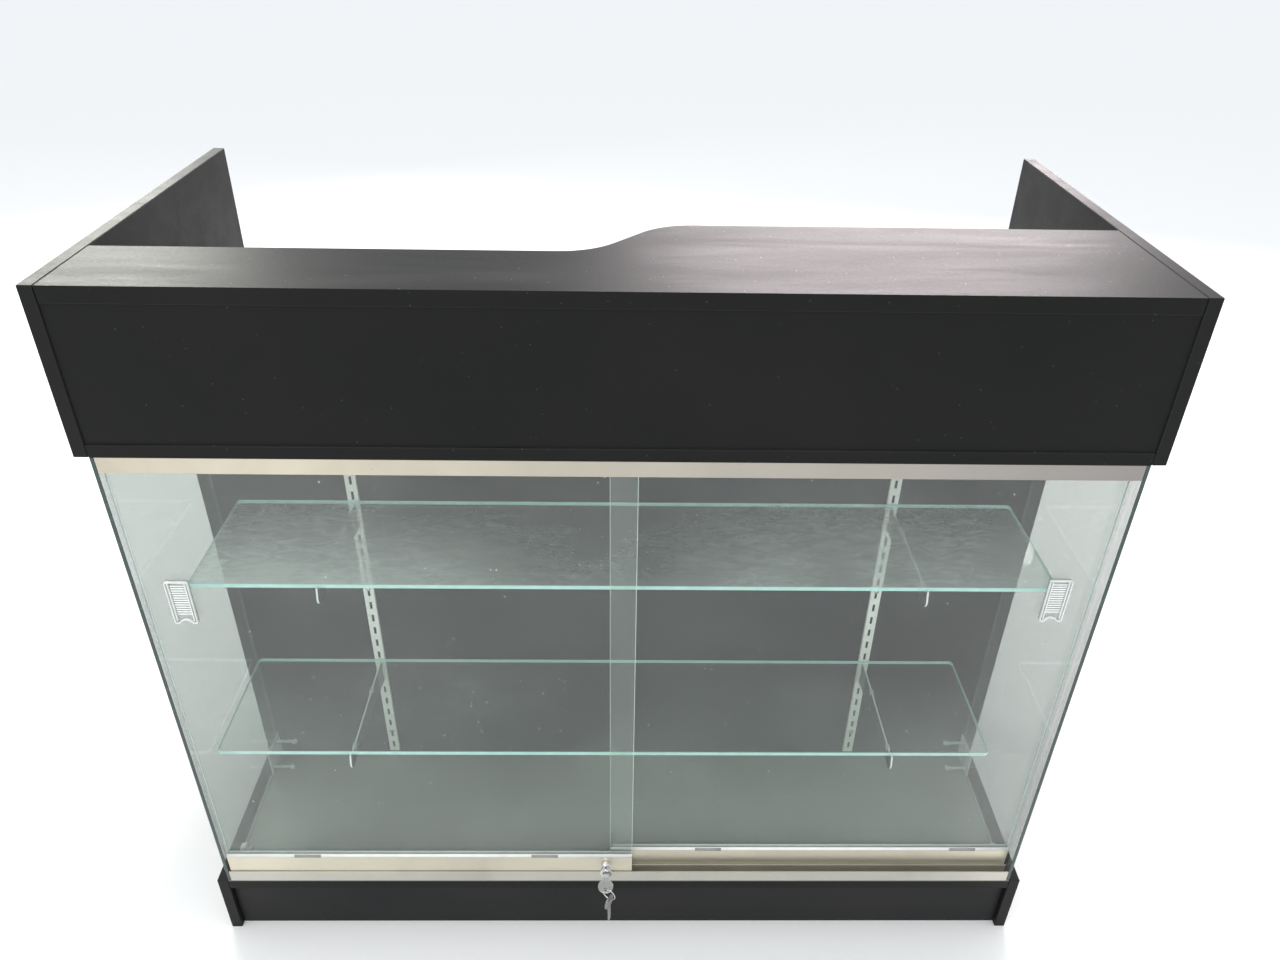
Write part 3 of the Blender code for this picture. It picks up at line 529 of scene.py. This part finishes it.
def plated_metal(name, colour, roughness, amount=0.25, metallic=1.0, side=1.0):
    """Bright plating with fine scratches and dull patches. A side below 1 paints shade on the faces that face
    X.
    """
    material, tree, shader = new_material(name)
    patches = noise(tree, coords(tree), 190.0, 5.0, 0.62, 0.4)
    scratches = noise(tree, coords(tree, (60, 900, 300), (0.3, 0.2, 0.5)), 3.0, 3.0)
    base = mix_colour(tree, remap(tree, patches, 0.50, 0.78, 0.0, amount), colour, GRIME_COLOUR)
    if side < 1:
        # Painted shade on the faces that face X.
        painted_side_shade = remap(tree, maths(tree, "ABSOLUTE", facing(tree, "X")), 0.6, 0.9, 0.0, 1.0)
        base = mix_colour(tree, painted_side_shade, base, scaled(colour, side))
    feed(tree, shader.inputs["Base Color"], base)
    shader.inputs["Metallic"].default_value = metallic
    scratched = plus(tree, remap(tree, scratches, 0.35, 0.7, -0.03, 0.10), roughness)
    feed(tree, shader.inputs["Roughness"], scratched)
    feed(tree, shader.inputs["Normal"], bump(tree, scratches, 0.10, 0.0001))
    return material


def clear_plastic(name, solid, tone, ribbed=False):
    """Clear moulded acrylic: mostly see-through, with a milky body and glossy rims.

    A ribbed moulding has painted shade greying its sunk back plate, and is brighter along its raised ribs.
    """
    material, tree, shader = new_material(name)
    grazing = node(tree, "ShaderNodeLayerWeight")
    grazing.inputs["Blend"].default_value = 0.45
    swirl = noise(tree, coords(tree), 160.0, 4.0, 0.6, 0.8)
    shade = mix_colour(tree, swirl, tone, scaled(tone, 1.08))
    if ribbed:
        web = remap(tree, along(tree, "Y"), 0.60, 0.66, 0.0, 1.0)
        # Painted shade greys the sunk back plate.
        shade = mix_colour(tree, web, shade, scaled(tone, 0.62))
    feed(tree, shader.inputs["Base Color"], shade)
    feed(tree, shader.inputs["Roughness"], remap(tree, swirl, 0.3, 0.7, 0.06, 0.20))
    shader.inputs["Specular IOR Level"].default_value = 0.75
    shader.inputs["Coat Weight"].default_value = 0.6
    feed(tree, shader.inputs["Normal"], bump(tree, swirl, 0.15, 0.0004))
    clear = node(tree, "ShaderNodeBsdfTransparent")
    clear.inputs["Color"].default_value = (0.95, 0.97, 0.96, 1)
    share = remap(tree, grazing.outputs["Facing"], 0.1, 0.9, solid, min(1.0, solid + 0.45))
    share = plus(tree, share, remap(tree, swirl, 0.3, 0.7, -0.08, 0.08))
    if ribbed:
        share = plus(tree, share, remap(tree, web, 0.0, 1.0, 0.45, 0.0))
    whole = mix_shader(tree, share, clear.outputs[0], shader.outputs[0])
    tree.links.new(whole, tree.nodes["Material Output"].inputs["Surface"])
    return material


def moulded_plastic(name, colour, roughness=0.45):
    """Solid plastic or rubber with a fine grain and darker stains."""
    material, tree, shader = new_material(name)
    grain = noise(tree, coords(tree), 420.0, 4.0, 0.6)
    stain = noise(tree, coords(tree), 45.0, 4.0, 0.6, 0.5)
    shade = mix_colour(tree, remap(tree, stain, 0.4, 0.75, 0, 0.35), colour, scaled(colour, 0.72))
    feed(tree, shader.inputs["Base Color"], shade)
    feed(tree, shader.inputs["Roughness"], remap(tree, grain, 0.3, 0.7, roughness - 0.06, roughness + 0.08))
    feed(tree, shader.inputs["Normal"], bump(tree, grain, 0.2, 0.0002))
    return material


# ---- Shape helpers -----------------------------------------------------------------------------


def finish_piece(name, mesh, body, material):
    """Make a visual piece of a mesh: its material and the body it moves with."""
    piece = new_object(name, mesh)
    mesh.materials.clear()
    mesh.materials.append(material)
    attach(piece, body)
    return piece


def soften(piece, width, angle=35):
    """Round the edges that are sharper than the angle."""
    bevel = piece.modifiers.new("soft_edges", "BEVEL")
    bevel.width = width
    bevel.segments = 2
    bevel.limit_method = "ANGLE"
    bevel.angle_limit = math.radians(angle)
    bevel.harden_normals = True


def evaluated_mesh(thing):
    """The object's mesh with its modifiers applied. The object itself goes."""
    bpy.context.view_layer.update()
    mesh = bpy.data.meshes.new_from_object(thing.evaluated_get(bpy.context.evaluated_depsgraph_get()))
    bpy.data.objects.remove(thing, do_unlink=True)
    return mesh


def turned(mesh, *quarter_axes):
    """Turn a mesh a quarter about each axis in turn."""
    for axis in quarter_axes:
        mesh.transform(Matrix.Rotation(math.radians(90), 4, axis))
    return mesh


def lathe_mesh(name, profile, sides=64):
    """A solid of revolution about Z. Its (radius, height) points end on the axis, or back at the start."""
    mesh = bpy.data.meshes.new(name)
    shape = bmesh.new()
    rings = []
    for radius, height in profile:
        if radius < 1e-7:
            rings.append([shape.verts.new((0, 0, height))])
            continue
        ring = []
        for index in range(sides):
            angle = 2 * math.pi * index / sides
            ring.append(shape.verts.new((radius * math.cos(angle), radius * math.sin(angle), height)))
        rings.append(ring)
    for lower, upper in zip(rings, rings[1:]):
        for index in range(sides):
            after = (index + 1) % sides
            if len(lower) == 1:
                shape.faces.new((lower[0], upper[after], upper[index]))
            elif len(upper) == 1:
                shape.faces.new((lower[index], lower[after], upper[0]))
            else:
                shape.faces.new((lower[index], lower[after], upper[after], upper[index]))
    bmesh.ops.remove_doubles(shape, verts=shape.verts, dist=0.000001)
    bmesh.ops.recalc_face_normals(shape, faces=shape.faces)
    shape.to_mesh(mesh)
    shape.free()
    mesh.shade_smooth()
    mesh.set_sharp_from_angle(angle=math.radians(35))
    return mesh


def prism_mesh(name, outlines, thickness):
    """An outline with holes, drawn out evenly about its own plane."""
    curve = bpy.data.curves.new(name, "CURVE")
    curve.dimensions = "2D"
    curve.fill_mode = "BOTH"
    curve.extrude = thickness / 2
    for outline in outlines:
        spline = curve.splines.new("POLY")
        spline.points.add(len(outline) - 1)
        for point, (u, v) in zip(spline.points, outline):
            point.co = (u, v, 0, 1)
        spline.use_cyclic_u = True
    mesh = evaluated_mesh(new_object(name, curve))
    shape = bmesh.new()
    shape.from_mesh(mesh)
    bmesh.ops.remove_doubles(shape, verts=shape.verts, dist=0.000005)
    bmesh.ops.recalc_face_normals(shape, faces=shape.faces)
    shape.to_mesh(mesh)
    shape.free()
    mesh.materials.clear()
    return mesh


def arc(centre_u, centre_v, radius, start, end, count):
    """Points round a centre from one angle in degrees to another, both ends included."""
    points = []
    for index in range(count + 1):
        angle = math.radians(start + (end - start) * index / count)
        points.append((centre_u + radius * math.cos(angle), centre_v + radius * math.sin(angle)))
    return points


def circle(centre_v, radius, count):
    """A ring of this many points, without the start repeated at its end."""
    return arc(0, centre_v, radius, 0, 360 - 360 / count, count - 1)


def rounded_outline(half_u, half_v, radius):
    """A rectangle about 0, 0 with round corners."""
    outline = []
    for start, sign_u, sign_v in ((0, 1, 1), (90, -1, 1), (180, -1, -1), (270, 1, -1)):
        outline += arc(sign_u * (half_u - radius), sign_v * (half_v - radius), radius, start, start + 90, 6)
    return outline


def joined_mesh(name, parts):
    """One mesh from several closed shells, each given with the matrix that places it."""
    mesh = bpy.data.meshes.new(name)
    shape = bmesh.new()
    for part, place in parts:
        part.transform(place)
        shape.from_mesh(part)
        bpy.data.meshes.remove(part)
    shape.to_mesh(mesh)
    shape.free()
    return mesh


# ---- Carried-over CAD nodes --------------------------------------------------------------------


def dress(name, material, edge=0.0):
    """Give a CAD node its material, and round its edges a little where that shows."""
    part = NODES[name]
    part.data.materials.clear()
    part.data.materials.append(material)
    if edge > 0:
        soften(part, edge, 30)


def dress_frame(looks):
    """Every CAD node that keeps its own shape gets its material here."""
    dress("left_side_board", looks["side"])
    dress("right_side_board", looks["side"])
    dress("deck_board", looks["deck"])
    for name in ("work_surface", "ledge_top", "storage_shelf"):
        dress(name, looks["board"])
    for name in ("fascia_panel", "display_back_panel"):
        dress(name, looks["panel"])
    for name in ("front_kick_board", "rear_kick_board"):
        dress(name, looks["kick"])
    for side in ("left", "right"):
        dress(f"{side}_glass_pane", looks["side_glass"])
        dress(f"{side}_door_glass", looks["door_glass"])
        dress(f"{side}_door_rail", looks["rail"])
        dress(f"{side}_standard", looks["bright_zinc"])
        dress(f"{side}_corner_clamp", looks["clear"], 0.0006)
        dress(f"{side}_front_clip", looks["white"], 0.0005)
        for end in ("outer", "inner"):
            dress(f"{side}_door_{end}_axle", looks["zinc"])
            dress(f"{side}_door_{end}_roller", looks["nylon"])
        for end in ("front", "rear"):
            dress(f"storage_pin_{side}_{end}", looks["zinc"])
        for level in ("upper", "lower"):
            dress(f"{level}_{side}_bracket", looks["bracket"], 0.0002)
            for end in ("front", "rear"):
                dress(f"{level}_{side}_bracket_{end}_cushion", looks["rubber"], 0.0003)
    dress("upper_glass_shelf", looks["upper_shelf"])
    dress("lower_glass_shelf", looks["lower_shelf"])
    dress("top_track", looks["top_track"])
    dress("bottom_track", looks["track"])


# ---- New pieces --------------------------------------------------------------------------------


def pull_outline(half_width, half_height, wall=0.0):
    """The pull's outline with its cupped foot, or the same drawn in by a wall."""
    u = half_width - PULL_CORNER
    v = half_height - PULL_CORNER
    radius = PULL_CORNER - wall
    outline = arc(u, v, radius, 0, 90, 4)
    outline += arc(-u, v, radius, 90, 180, 4)
    outline += arc(-u, -v, radius, 180, 270, 4)
    outline += arc(0, -half_height - PULL_CUP_DROP, PULL_CUP_RADIUS + wall, 155, 25, 10)
    outline += arc(u, -v, radius, 270, 360, 4)
    return outline


def finger_pull(side, looks):
    """A clear stick-on pull: a thin plate with a raised rim, two inner ribs and fine grip bars."""
    low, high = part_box(f"{side}_finger_pull")
    half_width = (high[0] - low[0]) / 2
    half_height = (high[2] - low[2]) / 2
    depth = high[1] - low[1]
    rib_at = half_width - PULL_RIB_INSET
    plate = pull_outline(half_width, half_height)
    inset = pull_outline(half_width, half_height, PULL_WALL)
    rib = rounded_outline(PULL_WALL / 2, half_height - PULL_RIB_SHORTER, PULL_WALL * 0.4)
    grip = rounded_outline(rib_at - PULL_GRIP_END_GAP, PULL_GRIP_HALF_SIZE, PULL_GRIP_ROUNDING)
    parts = [
        (prism_mesh("plate", [plate], PULL_WEB), (0, -PULL_WEB / 2, 0)),
        (prism_mesh("rim", [plate, inset], depth - 0.0004), (0, -depth / 2, 0)),
    ]
    for sign in (-1, 1):
        parts.append((prism_mesh("rib", [rib], depth - 0.0008), (sign * rib_at, -depth / 2, 0.0012)))
    for index in range(PULL_GRIP_COUNT):
        height = (index - PULL_GRIP_COUNT // 2) * PULL_GRIP_PITCH + PULL_GRIP_MIDDLE
        parts.append((prism_mesh("grip", [grip], PULL_GRIP_THICKNESS), (0, -PULL_WEB - 0.0004, height)))
    upright = Matrix.Rotation(math.radians(90), 4, "X")
    placed = [(part, Matrix.Translation(offset) @ upright) for part, offset in parts]
    mesh = joined_mesh(f"{side}_pull", placed)
    mesh.transform(Matrix.Translation(((low[0] + high[0]) / 2, high[1], (low[2] + high[2]) / 2)))
    piece = finish_piece(f"{side}_pull", mesh, f"{side}_door", looks["pull"])
    soften(piece, 0.0004)
    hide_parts(f"{side}_finger_pull")


def drawn_along_x(name, outline, span, face, sign=1):
    """A strip along X from a section of (depth behind a face, height above the rail) points."""
    mesh = prism_mesh(name, [[(sign * depth, height) for depth, height in outline]], span[1] - span[0])
    turned(mesh, "X", "Z").transform(Matrix.Translation(((span[0] + span[1]) / 2, face, RAIL_TOP)))
    return mesh


def glazing(looks):
    """The wedge gaskets that hold each pane in its rail, and the grey clips snapped over them."""
    for side, middles in CLIP_MIDDLES.items():
        low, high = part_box(f"{side}_door_rail")
        span = (low[0] + GASKET_END_GAP, high[0] - GASKET_END_GAP)
        for label, face, sign in (("front", low[1], 1), ("rear", high[1], -1)):
            name = f"{side}_gasket_{label}"
            mesh = drawn_along_x(name, GASKET_SECTION, span, face, sign)
            finish_piece(name, mesh, f"{side}_door", looks["gasket"])
        for index, middle in enumerate(middles):
            name = f"{side}_clip_{index + 1}"
            span = (middle - CLIP_LENGTH / 2, middle + CLIP_LENGTH / 2)
            mesh = drawn_along_x(name, CLIP_SECTION, span, low[1])
            finish_piece(name, mesh, f"{side}_door", looks["grey"])


def screw_mesh(name, radius, height):
    """A pan-head screw seen from outside: a domed head with a cross recess, axis along Z."""
    profile = [(0, height)]
    profile += [(radius * math.sin(a), height * math.cos(a) ** 0.8) for a in SCREW_DOME_ANGLES]
    profile += [(radius, 0), (0, 0)]
    head = new_object(name, lathe_mesh(name, profile, 32))
    arm = radius * CROSS_ARM
    slot = radius * CROSS_HALF_WIDTH
    outline = []
    for quarter in range(4):
        turn = math.radians(90 * quarter)
        for u, v in ((arm, -slot), (arm, slot), (slot, slot)):
            outline.append((u * math.cos(turn) - v * math.sin(turn), u * math.sin(turn) + v * math.cos(turn)))
    cutter = new_object("cross", prism_mesh("cross", [outline], height))
    cutter.location.z = height * 1.05
    cut = head.modifiers.new("cross", "BOOLEAN")
    cut.operation = "DIFFERENCE"
    cut.solver = "EXACT"
    cut.object = cutter
    made = evaluated_mesh(head)
    bpy.data.objects.remove(cutter, do_unlink=True)
    return made


def standard_screws(looks):
    """Three screws in each slotted standard, the right-hand ones mirrored from the left."""
    low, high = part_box("left_standard")
    middle = (low[0] + high[0]) / 2
    for side, x in (("left", middle), ("right", -middle)):
        for label, z in SCREW_HEIGHTS.items():
            name = f"{side}_screw_{label}"
            mesh = turned(screw_mesh(name, SCREW_RADIUS, SCREW_DOME), "X")
            mesh.transform(Matrix.Translation((x, low[1] - 0.0001, z)))
            finish_piece(name, mesh, "counter", looks["chrome"])


def pane_beads(looks):
    """The clear sealing bead where each side pane stands on the deck."""
    for side, inner_corner, sign in (("left", 1, 1), ("right", 0, -1)):
        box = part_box(f"{side}_glass_pane")
        outline = [(0, 0)] + arc(0, 0, BEAD_RADIUS, 0, 90, 6)
        section = [(sign * u, v) for u, v in outline]
        mesh = turned(prism_mesh(f"{side}_bead", [section], BEAD_LENGTH), "X")
        place = (box[inner_corner][0] + sign * 0.0001, box[0][1] + BEAD_MIDDLE, DECK_TOP + 0.0002)
        mesh.transform(Matrix.Translation(place))
        finish_piece(f"{side}_bead", mesh, "counter", looks["clear"])


def lock_part(mesh, reach=0.0):
    """Lay a mesh along the lock's axis, its middle this far out of the rail's face."""
    turned(mesh, "X").transform(Matrix.Translation((LOCK_X, RAIL_FACE_Y - reach, LOCK_Z)))
    return mesh


def lock(looks):
    """The plunger lock: a stepped hub, a push barrel and a slotted core."""
    mesh = lock_part(lathe_mesh("lock_hub", HUB_PROFILE))
    piece = finish_piece("lock_hub", mesh, "left_door", looks["chrome"])
    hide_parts("lock_sleeve")
    mesh = lock_part(lathe_mesh("lock_barrel", BARREL_PROFILE))
    piece = finish_piece("lock_barrel", mesh, "lock_press", looks["chrome"])
    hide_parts("lock_plunger")
    u, v = KEYWAY_HALF_SIZE
    keyway = [(-u, -v), (u, -v), (u, v), (-u, v)]
    core = prism_mesh("lock_core_face", [circle(0, CORE_RADIUS, 48), keyway], CORE_LENGTH)
    mesh = lock_part(core, CORE_MIDDLE)
    piece = finish_piece("lock_core_face", mesh, "lock_core", looks["brass"])
    soften(piece, 0.0002)
    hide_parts("lock_plug")


def key_outline(blade):
    """A round bow centred on 0, 0 with a blade along +Y, bitted on its left edge."""
    half = BLADE_HALF_WIDTH
    shoulder = math.degrees(math.asin(half / BOW_RADIUS))
    tip = BOW_RADIUS + blade
    outline = arc(0, 0, BOW_RADIUS, 90 + shoulder, 450 - shoulder, 72)
    outline += [(half, tip - 0.0022), (half - 0.0022, tip), (-half + 0.0008, tip), (-half, tip - 0.0012)]
    first = BOW_RADIUS + 0.40 * blade
    last = tip - 0.0015
    count = max(3, int((last - first) / BIT_LENGTH))
    step = (last - first) / count
    for index in range(count):
        start = last - index * step
        depth = BIT_DEPTHS[index % len(BIT_DEPTHS)]
        outline.append((-half + depth, start - 0.35 * step))
        outline.append((-half + depth, start - 0.60 * step))
        outline.append((-half + 0.0001, start - 0.97 * step))
    outline.append((-half, first - 0.001))
    return outline


def key_mesh(name, blade):
    """A key with a thinner core, and a raised rim round its bow and round its eye."""
    eye = circle(-EYE_DROP, EYE_RADIUS, 48)
    rim = [circle(0, BOW_RADIUS, 72), circle(0, BOW_RADIUS - BOW_RIM, 72)]
    eye_rim = [circle(-EYE_DROP, EYE_RIM_RADIUS, 48), eye]
    shells = (
        ("core", [key_outline(blade), eye], KEY_THICKNESS * 0.72),
        ("ring", rim, KEY_THICKNESS),
        ("ring", eye_rim, KEY_THICKNESS),
    )
    return joined_mesh(name, [(prism_mesh(*shell), Matrix()) for shell in shells])


def keys(looks):
    """The key in the lock, the ring through its eye, and the key that hangs on the ring."""
    low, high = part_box("key")
    mesh = key_mesh("key_in_lock", high[1] - low[1] - 2 * CAD_BOW_RADIUS)
    mesh.transform(Matrix.Translation((LOCK_X, low[1] + CAD_BOW_RADIUS, LOCK_Z)))
    piece = finish_piece("key_in_lock", mesh, "lock_core", looks["key"])
    soften(piece, 0.0002)
    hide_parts("key")

    low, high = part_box("key_ring")
    bpy.ops.mesh.primitive_torus_add(
        major_radius=RING_RADIUS, minor_radius=RING_WIRE_RADIUS, major_segments=96, minor_segments=16
    )
    mesh = bpy.context.object.data
    bpy.data.objects.remove(bpy.context.object, do_unlink=True)
    mesh.transform(Matrix.Rotation(-RING_TURN, 4, "Z") @ Matrix.Rotation(math.radians(90), 4, "X"))
    mesh.transform(Matrix.Translation((Vector(low) + Vector(high)) / 2))
    mesh.shade_smooth()
    piece = finish_piece("split_ring", mesh, "ring", looks["chrome"])
    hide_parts("key_ring")

    low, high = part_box("spare_key")
    mesh = key_mesh("key_hanging", high[2] - low[2] - 2 * CAD_BOW_RADIUS)
    hanging = Matrix.Rotation(math.radians(-90), 4, "X")
    mesh.transform(Matrix.Rotation(math.radians(90) - RING_TURN, 4, "Z") @ hanging)
    place = ((low[0] + high[0]) / 2, (low[1] + high[1]) / 2, high[2] - CAD_BOW_RADIUS)
    mesh.transform(Matrix.Translation(place))
    piece = finish_piece("key_hanging", mesh, "hanging_key", looks["spare"])
    soften(piece, 0.0002)
    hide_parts("spare_key")


def make_looks():
    upright = (math.radians(90), 0, 0)
    return {
        "board": laminate("laminate_board"),
        "panel": laminate("laminate_panel", 0.0085, 0.5),
        "kick": laminate("laminate_kick", 0.0150, 0.8),
        "side": laminate("laminate_side", 0.0105, 0.6),
        "deck": laminate("laminate_deck", 0.0085, 1.0, 0.85),
        "side_glass": glass("glass_side", "X", 0.03, 0.05, 0.0, upright, (0.016, 0.036, 0.033), 0.71),
        "door_glass": glass("glass_door", "Y", 0.024, 0.02, 0.004, upright, (0.62, 0.86, 0.78)),
        "upper_shelf": glass("glass_upper_shelf", "Z", 0.38, 0.34, 0.16),
        "lower_shelf": glass("glass_lower_shelf", "Z", 0.08, 0.10, 0.05),
        # The top track's right end is darkened with painted shade.
        "top_track": extruded_metal("anodised_top_track", (0.66, 0.61, 0.49), 0.34, (0.31, 0.29, 0.28)),
        "track": extruded_metal("anodised_track", (0.61, 0.59, 0.53), 0.34),
        "rail": extruded_metal("anodised_rail", (0.74, 0.69, 0.56), 0.30),
        "grey": moulded_plastic("clip_plastic", (0.30, 0.31, 0.30), 0.4),
        "gasket": moulded_plastic("pale_rubber", (0.84, 0.86, 0.84), 0.4),
        "zinc": plated_metal("zinc_plate", (0.62, 0.63, 0.62), 0.26),
        "bright_zinc": plated_metal("bright_zinc_plate", (0.95, 0.95, 0.91), 0.36, metallic=0.2),
        # The bracket's faces that face X get painted shade, at 0.06 of its colour.
        "bracket": plated_metal("bracket_plate", (0.96, 0.97, 0.95), 0.34, 0.1, metallic=0.0, side=0.06),
        "chrome": plated_metal("chrome_plate", (0.74, 0.75, 0.76), 0.10, amount=0.12),
        "key": plated_metal("nickel_plate", (0.72, 0.72, 0.70), 0.30, metallic=0.7),
        # The hanging key is a darker copy of the key's nickel, darkened as painted shade.
        "spare": plated_metal("shaded_nickel", (0.30, 0.30, 0.29), 0.24),
        # The lock core's face is darkened with painted shade.
        "brass": plated_metal("shaded_core", (0.22, 0.21, 0.17), 0.28),
        "clear": clear_plastic("clear_acrylic", 0.34, (0.86, 0.90, 0.88)),
        "pull": clear_plastic("ribbed_acrylic", 0.40, (0.90, 0.94, 0.92), ribbed=True),
        "white": moulded_plastic("white_clip", (0.78, 0.78, 0.74)),
        "rubber": clear_plastic("soft_cushion", 0.65, (0.90, 0.91, 0.88)),
        "nylon": moulded_plastic("roller_nylon", (0.66, 0.64, 0.57)),
    }


def build():
    make_camera()
    make_studio()
    make_floor()
    looks = make_looks()
    dress_frame(looks)
    for side in ("left", "right"):
        finger_pull(side, looks)
    glazing(looks)
    standard_screws(looks)
    pane_beads(looks)
    lock(looks)
    keys(looks)


build()
